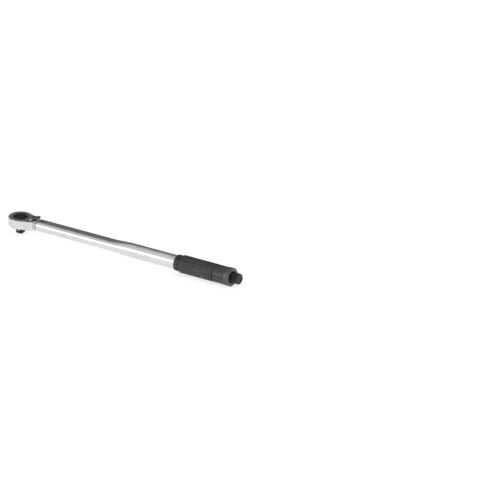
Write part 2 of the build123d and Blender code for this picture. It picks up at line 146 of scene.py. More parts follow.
def soften(points, radius, steps=3, closed=True):
    """The outline with every corner rounded by a short curve."""
    count = len(points)
    result = []
    for i, point in enumerate(points):
        if not closed and i in (0, count - 1):
            result.append(point)
            continue
        before = Vector(points[i - 1])
        after = Vector(points[(i + 1) % count])
        corner = Vector(point)
        back = before - corner
        ahead = after - corner
        start = corner + back.normalized() * min(radius, back.length * 0.48)
        end = corner + ahead.normalized() * min(radius, ahead.length * 0.48)
        for step in range(steps + 1):
            t = step / steps
            bent = start * (1 - t) ** 2 + corner * (2 * t * (1 - t)) + end * t ** 2
            result.append((bent.x, bent.y))
    return result


def densify(points, step, closed=True):
    """The outline with points added so that no run is longer than step."""
    result = []
    count = len(points)
    last = count if closed else count - 1
    for i in range(last):
        a = Vector(points[i])
        b = Vector(points[(i + 1) % count])
        parts = max(1, int((b - a).length / step + 0.999))
        for k in range(parts):
            c = a.lerp(b, k / parts)
            result.append((c.x, c.y))
    if not closed:
        result.append(points[-1])
    return result


def turned(name, profile, around=96, shape=None, closed=True, sharp=32.0):
    """Part turned about the tube axis from (x, radius) points. shape may change the radius by angle.
    A closed profile makes a ring, and an open one starts and ends on the axis."""
    verts = []
    for x, radius in profile:
        for k in range(around):
            angle = 2 * pi * k / around
            r = shape(x, radius, angle) if shape else radius
            verts.append((x, r * cos(angle), AXIS_Z + r * sin(angle)))
    faces = []
    rows = len(profile)
    for i in range(rows if closed else rows - 1):
        j = (i + 1) % rows
        for k in range(around):
            n = (k + 1) % around
            faces.append((i * around + k, i * around + n, j * around + n, j * around + k))
    if not closed:
        faces.append(tuple(range(around)))
        faces.append(tuple((rows - 1) * around + k for k in range(around)))
    return build(name, verts, faces, sharp)


def upright(name, profile, x, y, around=64, sharp=32.0):
    """Part turned about a vertical axis at x, y from (z, radius) points, ends closed by flat caps."""
    verts = []
    for z, radius in profile:
        for k in range(around):
            angle = 2 * pi * k / around
            verts.append((x + radius * cos(angle), y + radius * sin(angle), z))
    faces = []
    for i in range(len(profile) - 1):
        for k in range(around):
            n = (k + 1) % around
            faces.append((i * around + k, i * around + n, (i + 1) * around + n, (i + 1) * around + k))
    faces.append(tuple(range(around)))
    faces.append(tuple((len(profile) - 1) * around + k for k in range(around)))
    return build(name, verts, faces, sharp)


def stacked(name, rings, closed, sharp=32.0):
    """Skin over rings of points, each ring with the same number of points."""
    count = len(rings[0])
    verts = [p for ring in rings for p in ring]
    faces = []
    for i in range(len(rings) if closed else len(rings) - 1):
        j = (i + 1) % len(rings)
        for k in range(count):
            n = (k + 1) % count
            faces.append((i * count + k, i * count + n, j * count + n, j * count + k))
    if not closed:
        faces.append(tuple(range(count)))
        faces.append(tuple((len(rings) - 1) * count + k for k in range(count)))
    return build(name, verts, faces, sharp)


def cut(obj, *cutters, sharp=32.0):
    """Cuts the cutters out of obj and removes them."""
    for cutter in cutters:
        modifier = obj.modifiers.new("cut", "BOOLEAN")
        modifier.operation = "DIFFERENCE"
        modifier.solver = "EXACT"
        modifier.object = cutter
        depsgraph = bpy.context.evaluated_depsgraph_get()
        mesh = bpy.data.meshes.new_from_object(obj.evaluated_get(depsgraph))
        obj.modifiers.clear()
        obj.data = mesh
        bpy.data.objects.remove(cutter)
    tidy(obj.data, sharp)
    return obj


def prism(name, outline, z0, z1):
    """Upright solid over an outline in XY."""
    rings = [[(x, y, z) for x, y in outline] for z in (z0, z1)]
    return stacked(name, rings, closed=False)


def circle(radius, x=0.0, y=0.0, count=64):
    angles = [2 * pi * k / count for k in range(count)]
    return [(x + radius * cos(angle), y + radius * sin(angle)) for angle in angles]


# ---- materials ----


class Graph:
    """Small helper that adds nodes to one material."""

    def __init__(self, name):
        self.material = bpy.data.materials.new(name)
        self.material.use_nodes = True
        self.nodes = self.material.node_tree.nodes
        self.links = self.material.node_tree.links
        self.shader = self.nodes["Principled BSDF"]
        self.coords = self.nodes.new("ShaderNodeTexCoord").outputs["Object"]

    def node(self, kind, **values):
        node = self.nodes.new(kind)
        for key, value in values.items():
            setattr(node, key, value)
        return node

    def stretched(self, scale):
        mapping = self.node("ShaderNodeMapping")
        mapping.inputs["Scale"].default_value = scale
        self.links.new(self.coords, mapping.inputs["Vector"])
        return mapping.outputs["Vector"]

    def noise(self, scale, detail=3.0, stretch=(1, 1, 1), roughness=0.55):
        noise = self.node("ShaderNodeTexNoise")
        noise.inputs["Scale"].default_value = scale
        noise.inputs["Detail"].default_value = detail
        noise.inputs["Roughness"].default_value = roughness
        self.links.new(self.stretched(stretch), noise.inputs["Vector"])
        return noise.outputs["Fac"]

    def cells(self, scale, feature="F1"):
        voronoi = self.node("ShaderNodeTexVoronoi", feature=feature)
        voronoi.inputs["Scale"].default_value = scale
        self.links.new(self.stretched((1, 1, 1)), voronoi.inputs["Vector"])
        return voronoi.outputs["Distance"]

    def remap(self, value, low, high, to_low, to_high):
        node = self.node("ShaderNodeMapRange")
        node.inputs["From Min"].default_value = low
        node.inputs["From Max"].default_value = high
        node.inputs["To Min"].default_value = to_low
        node.inputs["To Max"].default_value = to_high
        self.links.new(value, node.inputs["Value"])
        return node.outputs["Result"]

    def mix(self, factor, first, second):
        node = self.node("ShaderNodeMix", data_type="RGBA")
        self.links.new(factor, node.inputs["Factor"])
        for socket, colour in ((node.inputs["A"], first), (node.inputs["B"], second)):
            if isinstance(colour, tuple):
                socket.default_value = (*colour, 1)
            else:
                self.links.new(colour, socket)
        return node.outputs["Result"]

    def colour(self, value):
        self.links.new(value, self.shader.inputs["Base Color"])

    def rough(self, value):
        self.links.new(value, self.shader.inputs["Roughness"])

    def bump(self, height, distance, strength=1.0):
        node = self.node("ShaderNodeBump")
        node.inputs["Distance"].default_value = distance
        node.inputs["Strength"].default_value = strength
        self.links.new(height, node.inputs["Height"])
        previous = self.shader.inputs["Normal"].links
        if previous:
            self.links.new(previous[0].from_socket, node.inputs["Normal"])
        self.links.new(node.outputs["Normal"], self.shader.inputs["Normal"])


def metal(name, dark, light, rough_low, rough_high, grain=(1, 1, 1), grain_scale=900, grain_depth=0.0):
    """Metal with cloudy roughness, faint smudges in its colour and an optional drawn grain."""
    g = Graph(name)
    g.shader.inputs["Metallic"].default_value = 1.0
    clouds = g.noise(55, 4.0)
    g.colour(g.mix(g.remap(clouds, 0.3, 0.7, 0, 1), dark, light))
    g.rough(g.remap(g.noise(160, 5.0, grain), 0.25, 0.75, rough_low, rough_high))
    if grain_depth:
        g.bump(g.noise(grain_scale, 3.0, grain), grain_depth)
    return g.material


def blackened(name, base, worn, rough_low, rough_high, metallic=1.0, wear_from=0.62):
    """Dark coated metal with small rubbed spots and a fine surface texture."""
    g = Graph(name)
    g.shader.inputs["Metallic"].default_value = metallic
    rub = g.remap(g.noise(420, 6.0), wear_from, wear_from + 0.2, 0, 1)
    g.colour(g.mix(rub, base, worn))
    g.rough(g.remap(g.noise(700, 4.0), 0.3, 0.7, rough_low, rough_high))
    g.bump(g.noise(2600, 2.0), 0.00002, 0.6)
    return g.material


def moulded(name, base, light, grain, rough_low=0.42, rough_high=0.58, shine=0.45):
    """Moulded plastic with a fine leathery grain and slight colour clouds."""
    g = Graph(name)
    g.shader.inputs["Specular IOR Level"].default_value = shine
    g.colour(g.mix(g.remap(g.noise(90, 4.0), 0.3, 0.75, 0, 1), base, light))
    g.rough(g.remap(g.noise(1100, 3.0), 0.3, 0.7, rough_low, rough_high))
    g.bump(g.cells(grain), 0.00005, 0.55)
    g.bump(g.noise(3200, 2.0), 0.00003, 0.5)
    return g.material


def paint(name, colour):
    g = Graph(name)
    g.colour(g.mix(g.remap(g.noise(1500, 3.0), 0.3, 0.7, 0, 1), colour, tuple(c * 0.8 for c in colour)))
    g.shader.inputs["Roughness"].default_value = 0.5
    return g.material


CHROME = metal("chrome_tube", (0.62, 0.63, 0.645), (0.71, 0.715, 0.725), 0.07, 0.15,
               (0.08, 1, 1), 1400, 0.000004)
SATIN = metal("satin_chrome", (0.60, 0.60, 0.60), (0.70, 0.70, 0.69), 0.20, 0.30,
              (1, 1, 1), 1800, 0.00001)
MIRROR = metal("bright_plate", (0.50, 0.50, 0.52), (0.68, 0.68, 0.70), 0.10, 0.2,
               (1, 0.15, 1), 1200, 0.000004)
LEVER_STEEL = metal("lever_steel", (0.10, 0.10, 0.102), (0.24, 0.24, 0.24), 0.24, 0.38)
RIVET = metal("rivet_steel", (0.10, 0.10, 0.105), (0.20, 0.20, 0.20), 0.14, 0.24)
STEEL = metal("machined_steel", (0.42, 0.42, 0.43), (0.56, 0.56, 0.56), 0.22, 0.36,
              (1, 1, 0.2), 1200, 0.000008)
SPRING = metal("spring_steel", (0.22, 0.21, 0.2), (0.34, 0.33, 0.31), 0.28, 0.42)
BRONZE = metal("sintered_bronze", (0.50, 0.33, 0.15), (0.66, 0.46, 0.23), 0.3, 0.45)
BLACK_OXIDE = blackened("black_oxide", (0.028, 0.028, 0.030), (0.12, 0.12, 0.12), 0.26, 0.42)
BLACK_DISC = blackened("black_disc", (0.016, 0.014, 0.015), (0.05, 0.045, 0.045), 0.30, 0.44, 0.6)
BLACK_METAL = blackened("black_metal", (0.022, 0.021, 0.021), (0.07, 0.07, 0.07), 0.34, 0.5, 0.5)
GREY_METAL = blackened("grey_collar", (0.10, 0.102, 0.108), (0.18, 0.18, 0.185), 0.30, 0.42, 0.9)
GRIP = moulded("grip_plastic", (0.020, 0.018, 0.019), (0.034, 0.031, 0.032), 2600)
LUGS = moulded("lug_plastic", (0.012, 0.011, 0.012), (0.022, 0.020, 0.021), 2600, 0.2, 0.3, 0.7)
MARKS = paint("scale_paint", (0.20, 0.20, 0.195))
ETCHED = paint("etched_marks", (0.03, 0.03, 0.03))


# ---- ratchet head ----


def pear(inset, z):
    """Ring of points round the head from above, moved in by inset."""
    big = HEAD_R - inset
    end_x = NECK_X - inset
    side = Vector((big * sin(TANGENT), big * cos(TANGENT)))
    end_y = side.y - (end_x - side.x) * tan(TANGENT)
    arc_steps = 96
    first = pi / 2 - TANGENT
    sweep = 2 * pi - 2 * first
    points = [Vector((big * cos(first + sweep * k / arc_steps), big * sin(first + sweep * k / arc_steps)))
              for k in range(arc_steps + 1)]
    corner_r = 1.3 * MM
    for sign in (-1, 1):
        corner = Vector((end_x, sign * end_y))
        along_side = (Vector((side.x, sign * side.y)) - corner).normalized()
        along_end = Vector((0, -sign))
        if sign < 0:
            start, stop = corner + along_side * corner_r, corner + along_end * corner_r
        else:
            start, stop = corner + along_end * corner_r, corner + along_side * corner_r
        for k in range(7):
            t = k / 6
            points.append(start * (1 - t) ** 2 + corner * (2 * t * (1 - t)) + stop * t ** 2)
    return [(p.x, p.y, z) for p in points]


def matching_circle(radius, z, ring):
    """Circle about the drive axis with one point for each point of ring."""
    points = []
    for x, y, _ in ring:
        angle = atan2(y, x)
        points.append((radius * cos(angle), radius * sin(angle), z))
    return points


def quarter(radius, steps, rising):
    """(inset, height) pairs of a rounded edge: rising goes from the flat face out to the side."""
    pairs = []
    for k in range(steps + 1):
        angle = pi / 2 * k / steps
        pairs.append((radius * (1 - sin(angle)), radius * (1 - cos(angle))))
    return pairs if rising else pairs[::-1]


def ratchet_head():
    """Forged head: rounded below, with a rim round the inlaid plate and the bores for gear and pawl."""
    outline = pear(0, 0)
    bottom_r, top_r = 3.0 * MM, 1.2 * MM
    hole_r, hole_chamfer = 10.15 * MM, 0.4 * MM
    bore_r, floor_z = 13.5 * MM, 17.0 * MM
    rim = 1.4 * MM
    rings = [matching_circle(hole_r, HEAD_Z0 + hole_chamfer, outline),
             matching_circle(hole_r + hole_chamfer, HEAD_Z0, outline)]
    for inset, height in quarter(bottom_r, 8, True):
        rings.append(pear(inset, HEAD_Z0 + height))
    for inset, height in quarter(top_r, 4, False):
        rings.append(pear(inset, HEAD_Z1 - height))
    rings.append(pear(rim - 0.05 * MM, HEAD_Z1))
    rings.append(pear(rim, HEAD_Z1 - 0.12 * MM))
    rings.append(pear(rim, PLATE_Z))
    rings.append(matching_circle(bore_r, PLATE_Z, outline))
    rings.append(matching_circle(bore_r, floor_z, outline))
    rings.append(matching_circle(hole_r, floor_z, outline))
    head = stacked("ratchet_head_shell", rings, closed=True)
    cutter_z = PLATE_Z + 1 * MM
    pocket = [(8, -10.8), (16.5, -10.8), (20.6, -4.6), (20.6, 4.6), (16.5, 10.8), (8, 10.8)]
    pocket_cutter = prism("pocket", [(x * MM, y * MM) for x, y in pocket], floor_z, cutter_z)
    bore_cutter = prism("bore", circle(3.65 * MM, LEVER_X), floor_z, cutter_z)
    ledge_cutter = prism("ledge", circle(14.5 * MM, count=96), LEDGE_Z, cutter_z)
    cut(head, ledge_cutter, pocket_cutter, bore_cutter)
    return finish_piece(head, "head", SATIN, "satin_chrome", "ratchet_head")


def lever_arm():
    """Forged arm from the neck down the tube."""
    x0 = NECK_X - 1.5 * MM
    x1 = HEAD_HIGH.x
    rings = []
    steps = 24
    for k in range(steps + 1):
        t = k / steps
        width = ARM_W * (1 - t) + ARM_END_W * t
        height = ARM_H * (1 - t) + ARM_END_H * t
        rings.append(rounded_section(x0 + (x1 - x0) * t, width, height, ARM_EDGE_R, 4, AXIS_Z))
    arm = stacked("head_lever_arm", rings, closed=False)
    pin_cutter = prism("pin_hole", circle(PIN_HEAD_R + 0.05 * MM, PIVOT_X), AXIS_Z - ARM_W, AXIS_Z + ARM_W)
    cut(arm, pin_cutter)
    return finish_piece(arm, "head", SATIN, "satin_chrome")


def rounded_section(x, width, height, radius, steps, z):
    """Rounded rectangle across the tube axis at x, as points on its four corner arcs."""
    points = []
    for quadrant in range(4):
        corner_y = (1, -1, -1, 1)[quadrant] * (width / 2 - radius)
        corner_z = z + (1, 1, -1, -1)[quadrant] * (height / 2 - radius)
        for k in range(steps + 1):
            angle = pi / 2 * (quadrant + k / steps)
            points.append((x, corner_y + radius * cos(angle), corner_z + radius * sin(angle)))
    return points


def plate_from_outlines(name, outlines, z0, z1, bevel):
    """Flat plate with softened edges: the first outline is its edge and the others are its holes."""
    curve = bpy.data.curves.new(name, "CURVE")
    curve.dimensions = "2D"
    curve.fill_mode = "BOTH"
    curve.bevel_depth = bevel
    curve.bevel_resolution = 2
    curve.extrude = (z1 - z0) / 2 - bevel
    for outline in outlines:
        spline = curve.splines.new("POLY")
        spline.points.add(len(outline) - 1)
        for point, (x, y) in zip(spline.points, outline):
            point.co = (x, y, 0, 1)
        spline.use_cyclic_u = True
    curve.offset = -bevel
    holder = link(name + "_curve", curve)
    holder.location.z = (z0 + z1) / 2
    bpy.context.view_layer.update()
    mesh = bpy.data.meshes.new_from_object(holder.evaluated_get(bpy.context.evaluated_depsgraph_get()))
    mesh.transform(holder.matrix_world)
    bpy.data.objects.remove(holder)
    tidy(mesh)
    return link(name, mesh)


def cover_plate():
    """Plate inlaid in the head, with holes for the cover, the lever and two screws."""
    edge = [(x, y) for x, y, _ in pear(1.5 * MM, 0)]
    holes = [circle(13.0 * MM, count=96), circle(3.9 * MM, LEVER_X, count=48)]
    for side in (-1, 1):
        holes.append(circle(2.3 * MM, SCREW_X, side * SCREW_Y, 40))
    plate = plate_from_outlines("head_cover_plate", [edge, *holes], PLATE_Z, HEAD_Z1, 0.22 * MM)
    return finish_piece(plate, "head", MIRROR, "mirror_plate", "cover_plate")


def cover_screw(side, word):
    """Countersunk screw with a cross recess."""
    x = SCREW_X
    y = side * SCREW_Y
    half, arm = 0.3 * MM, 1.35 * MM
    cross = [(half, arm), (-half, arm), (-half, half), (-arm, half), (-arm, -half), (-half, -half),
             (-half, -arm), (half, -arm), (half, -half), (arm, -half), (arm, half), (half, half)]
    turn = radians(24 * side)
    top = HEAD_Z1 - 0.02 * MM
    profile = [(PLATE_Z - 5 * MM, 1.2 * MM), (top - 1.3 * MM, 1.2 * MM), (top - 0.35 * MM, 2.15 * MM),
               (top - 0.1 * MM, 2.2 * MM), (top, 2.05 * MM)]
    screw = upright("cover_screw_" + word + "_head", profile, x, y, 40)
    outline = [(x + a * cos(turn) - b * sin(turn), y + a * sin(turn) + b * cos(turn)) for a, b in cross]
    cut(screw, prism("cross", outline, top - 0.9 * MM, top + 1 * MM))
    return finish_piece(screw, "head", STEEL, "steel", "cover_screw_" + word)


def gear_cover():
    """Black disc over the gear, with a shallow turned step."""
    low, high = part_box("gear_cover")
    profile = [
        (low.z, 14.4 * MM), (PLATE_Z - 0.05 * MM, 14.4 * MM), (PLATE_Z - 0.04 * MM, 12.9 * MM),
        (high.z - 0.45 * MM, 12.9 * MM), (high.z - 0.18 * MM, 12.75 * MM), (high.z - 0.05 * MM, 12.45 * MM),
        (high.z, 12.0 * MM), (high.z, 10.2 * MM), (high.z - 0.15 * MM, 10.0 * MM),
        (high.z - 0.15 * MM, 9.6 * MM), (high.z, 9.4 * MM), (high.z - 0.02 * MM, 5.0 * MM),
        (high.z - 0.04 * MM, 2.2 * MM), (high.z - 0.45 * MM, 1.7 * MM), (high.z - 0.5 * MM, 0.6 * MM),
    ]
    disc = upright("gear_cover_disc", profile, 0, 0, 128)
    return finish_piece(disc, "head", BLACK_DISC, "black_cover", "gear_cover")


def neck_ring():
    """Dust ring between head and tube, crowned towards both ends."""
    low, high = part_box("neck_ring")
    width, height = high.y - low.y, high.z - low.z
    z = (low.z + high.z) / 2
    length = high.x - low.x
    depths = [(0.0, 0.9), (0.06, 0.35), (0.18, 0.06), (0.34, 0.0), (0.5, 0.0), (0.66, 0.0), (0.82, 0.06),
              (0.94, 0.35), (1.0, 0.9)]
    rings = []
    for share, depth in depths:
        inset = depth * MM
        rings.append(rounded_section(low.x + share * length, width - 2 * inset, height - 2 * inset,
                                     4.5 * MM - inset, 12, z))
    for share in (1.0, 0.0):
        rings.append(rounded_section(low.x + share * length, ARM_W, ARM_H, ARM_EDGE_R, 12, AXIS_Z))
    ring = stacked("neck_dust_ring", rings, closed=True)
    return finish_piece(ring, "head", CHROME, "chrome", "neck_ring")


# ---- drive ----


DRIVE_HALF = 6.35 * MM
DRIVE_CORNER_R = 8.1 * MM


def drive_ring(inset, z):
    """Square about the drive axis with turned, softened corners."""
    half = DRIVE_HALF - inset
    corner = DRIVE_CORNER_R - inset
    first = acos(half / corner)
    outline = []
    for quadrant in range(4):
        for k in range(3):
            angle = quadrant * pi / 2 + first + (pi / 2 - 2 * first) * k / 2
            outline.append((corner * cos(angle), corner * sin(angle)))
    return [(x, y, z) for x, y in soften(outline, 0.9 * MM, 4)]


def drive_square():
    """Half-inch square with turned corners, a chamfered end and the ball's hole."""
    stations = ((1.15, 0.0), (1.0, 0.05), (0.75, 0.3), (0.2, 1.1), (0.0, 1.5), (0.0, 12.4), (0.35, 12.9),
                (0.35, 14.5))
    rings = [drive_ring(inset * MM, z * MM) for inset, z in stations]
    square = stacked("drive_square", rings, closed=False)
    hole = upright("hole", [(-3 * MM, BALL_HOLE_R), (DRIVE_HALF + 1 * MM, BALL_HOLE_R)], 0, 0, 40)
    rim = upright("rim", [(DRIVE_HALF - 0.25 * MM, 2.0 * MM), (DRIVE_HALF + 0.3 * MM, 2.6 * MM)], 0, 0, 40)
    sideways = Matrix.Translation((0, 0, centre_z("detent_ball"))) @ Matrix.Rotation(pi / 2, 4, "X")
    for cutter in (hole, rim):
        cutter.data.transform(sideways)
    cut(square, hole, rim)
    return finish_piece(square, "gear", BLACK_OXIDE, "black_oxide")


def drive_gear():
    """36-tooth ratchet wheel with its journal and the shoulder above the square."""
    teeth = 36
    tip_r, root_r, bevel = 13.2 * MM, 12.1 * MM, 0.4 * MM
    rings = []
    for z, inset in ((GEAR_Z0, bevel), (GEAR_Z0 + bevel, 0), (GEAR_Z1 - bevel, 0), (GEAR_Z1, bevel)):
        ring = []
        for tooth in range(teeth):
            for radius, turn in ((root_r, -0.36), (tip_r, -0.1), (tip_r, 0.1), (root_r, 0.36)):
                angle = 2 * pi * (tooth + turn) / teeth
                ring.append(((radius - inset) * cos(angle), (radius - inset) * sin(angle), z))
        rings.append(ring)
    wheel = stacked("drive_gear_wheel", rings, closed=False, sharp=20)
    finish_piece(wheel, "gear", BLACK_OXIDE, "black_oxide", "drive_gear")
    bottom = HEAD_Z0 - 0.5 * MM
    profile = [(bottom, 9.0 * MM), (bottom, 9.6 * MM), (bottom + 0.15 * MM, 9.95 * MM),
               (bottom + 0.5 * MM, JOURNAL_R), (GEAR_Z0, JOURNAL_R)]
    journal = upright("drive_journal", profile, 0, 0, 96)
    return finish_piece(journal, "gear", BLACK_OXIDE, "black_oxide")


# ---- reversing lever ----


LEVER_LENGTH = 16.4 * MM
LEVER_HUB_R = 4.95 * MM
LEVER_EDGE = 0.45 * MM
LEVER_T = 1.6 * MM
LEVER_TOP_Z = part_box("reverse_lever")[1].z
LEVER_BASE_Z = LEVER_TOP_Z - LEVER_T
SHAFT_R = 3.6 * MM


def ease_in(value, length):
    """0 at value 0, rising to 1 at length."""
    return min(1, max(0, value / length))


def lever_half_width(u):
    """Half width of the lever at u from its pivot: round hub, then a broad paddle with round corners."""
    if u < 0:
        return max(max(LEVER_HUB_R ** 2 - u ** 2, 0) ** 0.5, 0.02 * MM)
    hub = max(LEVER_HUB_R ** 2 - u ** 2, 0) ** 0.5
    flare = (5.1 + 0.5 * u / LEVER_LENGTH) * MM
    corner = 2.2 * MM
    over = u - (LEVER_LENGTH - corner)
    if over > 0:
        flare -= corner - max(corner ** 2 - over ** 2, 0) ** 0.5
    return max(hub, flare)


def lever_texture(u, v, half):
    """Height of the thumb grip: crossed grooves between the hub and the rounded end."""
    zone = ease_in(u - 4.4 * MM, 0.5 * MM) * ease_in(LEVER_LENGTH - 0.9 * MM - u, 0.4 * MM)
    zone *= ease_in(half - abs(v) - 0.5 * MM, 0.3 * MM)
    pitch = 1.9 * MM
    ridges = abs(sin(pi * (u + v) / pitch)) * abs(sin(pi * (u - v) / pitch))
    dish = 0.25 * MM * ease_in(u - 3.0 * MM, 3 * MM) * ease_in(LEVER_LENGTH - u, 3 * MM)
    return -dish * (1 - 0.4 * (v / half) ** 2) - zone * 0.34 * MM * (1 - ridges) ** 2


def lever_surface(u, side):
    """Point of the lever's top at u, with side from -1 to 1 across it."""
    half = lever_half_width(u)
    nearest_edge = min((1 - abs(side)) * half, LEVER_LENGTH - u, u + LEVER_HUB_R)
    drop = LEVER_EDGE * (1 - (1 - (1 - ease_in(nearest_edge, LEVER_EDGE)) ** 2) ** 0.5)
    z = LEVER_TOP_Z - drop + lever_texture(u, side * half, half)
    return u, side * half, min(z, LEVER_TOP_Z)


def lever_paddle():
    """The lever's plate: its worked top, and a plain base under the same outline."""
    along, across = 96, 52
    row = across + 1
    verts, faces = [], []
    for i in range(along + 1):
        u = -LEVER_HUB_R + (LEVER_LENGTH + LEVER_HUB_R) * i / along
        verts += [lever_surface(u, 2 * j / across - 1) for j in range(row)]
    for i in range(along):
        for j in range(across):
            faces.append((i * row + j, (i + 1) * row + j, (i + 1) * row + j + 1, i * row + j + 1))
    rim = list(range(row)) + [i * row + across for i in range(1, along + 1)]
    rim += [along * row + j for j in range(across - 1, -1, -1)] + [i * row for i in range(along - 1, 0, -1)]
    first = len(verts)
    verts += [(verts[index][0], verts[index][1], LEVER_BASE_Z) for index in rim]
    count = len(rim)
    for k in range(count):
        n = (k + 1) % count
        faces.append((rim[k], rim[n], first + n, first + k))
    faces.append(tuple(first + k for k in range(count)))
    paddle = build("reverse_lever_paddle", verts, faces, 38)
    paddle.data.transform(LEVER_PLACE)
    hole_r = 2.45 * MM
    profile = [(LEVER_BASE_Z - 1 * MM, hole_r), (LEVER_TOP_Z + 1 * MM, hole_r)]
    cut(paddle, upright("screw_hole", profile, LEVER_X, 0, 40))
    return finish_piece(paddle, "lever", LEVER_STEEL, "steel")


def lever():
    """Thumb lever: knurled paddle, round hub, and the grooved shaft that holds the plunger."""
    lever_paddle()
    hub_z = HEAD_Z1 + 0.3 * MM
    profile = [(hub_z, 4.2 * MM), (hub_z + 0.15 * MM, 4.5 * MM), (LEVER_BASE_Z + 0.1 * MM, 4.5 * MM)]
    finish_piece(upright("reverse_lever_hub", profile, LEVER_X, 0, 64), "lever", STEEL, "steel")
    groove_r = 3.2 * MM
    profile = [(GEAR_Z0, 3.3 * MM), (GEAR_Z0 + 0.3 * MM, SHAFT_R), (PLATE_Z - 1.5 * MM, SHAFT_R),
               (PLATE_Z - 1.45 * MM, groove_r), (PLATE_Z - 0.7 * MM, groove_r),
               (PLATE_Z - 0.65 * MM, SHAFT_R), (hub_z + 0.1 * MM, SHAFT_R)]
    shaft = upright("reverse_lever_shaft", profile, LEVER_X, 0, 48)
    hole = upright("hole", [(-2.6 * MM, 1.25 * MM), (5 * MM, 1.25 * MM)], 0, 0, 24)
    along_axis = Matrix.Rotation(-pi / 2, 4, "Y")
    hole.data.transform(LEVER_PLACE @ Matrix.Translation((0, 0, PLUNGER_Z)) @ along_axis)
    cut(shaft, hole)
    return finish_piece(shaft, "lever", STEEL, "steel", "reverse_lever")


def lever_screw():
    """Slotted screw on top of the lever."""
    low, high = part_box("lever_screw")
    profile = [(low.z, 1.5 * MM), (high.z - 0.72 * MM, 1.5 * MM), (high.z - 0.7 * MM, 2.3 * MM),
               (high.z - 0.25 * MM, 2.4 * MM), (high.z - 0.08 * MM, 2.2 * MM), (high.z, 1.8 * MM)]
    screw = upright("lever_screw_head", profile, LEVER_X, 0, 40)
    reach, half = 4 * MM, 0.3 * MM
    corners = ((-reach, -half), (reach, -half), (reach, half), (-reach, half))
    slot = [(a * cos(LEVER_REST) - b * sin(LEVER_REST) + LEVER_X, a * sin(LEVER_REST) + b * cos(LEVER_REST))
            for a, b in corners]
    cut(screw, prism("slot", slot, high.z - 0.45 * MM, high.z + 1 * MM))
    return finish_piece(screw, "lever", STEEL, "steel", "lever_screw")


# ---- tube ----


FLAT_END_X = 185 * MM
ROUND_START_X = 238 * MM
FLAT_W, FLAT_H, FLAT_R = 25.0 * MM, 17.5 * MM, 8.0 * MM
WALL = 2.0 * MM


def smooth(t):
    t = min(1, max(0, t))
    return t * t * (3 - 2 * t)


def tube_size(x):
    """Width, height and corner radius of the tube's outside at x."""
    t = smooth((x - FLAT_END_X) / (ROUND_START_X - FLAT_END_X))
    round_d = 2 * TUBE_R
    round_r = TUBE_R - 0.01 * MM
    return (FLAT_W + (round_d - FLAT_W) * t, FLAT_H + (round_d - FLAT_H) * t, FLAT_R + (round_r - FLAT_R) * t)


def tube_ring(x, inset):
    width, height, radius = tube_size(x)
    return rounded_section(x, width - 2 * inset, height - 2 * inset, radius - inset, 24, AXIS_Z)


def stations(start, stop, step):
    """Values from start, step by step, that stay below stop."""
    values = []
    while start < stop:
        values.append(start)
        start += step
    return values


def tube():
    """Tube skin: rolled front lip, flattened front, blend, and the round rear with its bore."""
    lip, step, blend_step, end_bevel = 1.1 * MM, 12 * MM, 1.5 * MM, 0.5 * MM
    lengthwise = stations(TUBE_X0 + step, FLAT_END_X - step / 2, step)
    blend = stations(FLAT_END_X, ROUND_START_X, blend_step)
    lengthwise += blend + stations(blend[-1] + blend_step, TUBE_X1 - step / 2, step)
    rings = []
    for k in range(7):
        angle = pi / 2 * k / 6
        rings.append(tube_ring(TUBE_X0 + lip * (1 - sin(angle)), lip * (1 - cos(angle))))
    rings = rings[::-1]
    rings += [tube_ring(x, 0) for x in lengthwise]
    rings += [tube_ring(TUBE_X1 - end_bevel, 0), tube_ring(TUBE_X1, end_bevel), tube_ring(TUBE_X1, WALL)]
    rings += [tube_ring(x, WALL) for x in lengthwise[::-1]]
    rings.append(tube_ring(TUBE_X0 + lip, WALL))
    rings.append(tube_ring(TUBE_X0, WALL - 0.2 * MM))
    body = stacked("tube_shell", rings, closed=True, sharp=40)
    return finish_piece(body, "tube_body", CHROME, "chrome", "tube")


def pivot_pin():
    """Riveted pin with a domed head above and below the tube."""
    low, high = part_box("pivot_pin")
    rise_z, edge = 0.6 * MM, 1.1 * MM
    dimple_r, dimple = 1.0 * MM, 0.12 * MM
    dome = []
    for k in range(7):
        angle = pi / 2 * k / 6
        dome.append((rise_z * sin(angle), PIN_HEAD_R - edge * (1 - cos(angle))))
    lower = [(low.z + rise_z - z, r) for z, r in dome][::-1]
    upper = [(high.z - rise_z + z, r) for z, r in dome]
    profile = [(low.z + dimple, dimple_r)] + lower + upper + [(high.z - dimple, dimple_r)]
    pin = upright("pivot_pin_rivet", profile, PIVOT_X, 0, 64)
    return finish_piece(pin, "tube_body", RIVET, "black_oxide", "pivot_pin")


# ---- marks ----


def flat_text(text, size):
    """Points and faces of a line of text, centred on the origin, lying in XY."""
    font = bpy.data.curves.new("text", "FONT")
    font.body = text
    font.size = size
    font.align_x = "CENTER"
    font.align_y = "CENTER"
    font.extrude = 0
    holder = link("text_holder", font)
    bpy.context.view_layer.update()
    mesh = bpy.data.meshes.new_from_object(holder.evaluated_get(bpy.context.evaluated_depsgraph_get()))
    bpy.data.objects.remove(holder)
    return mesh


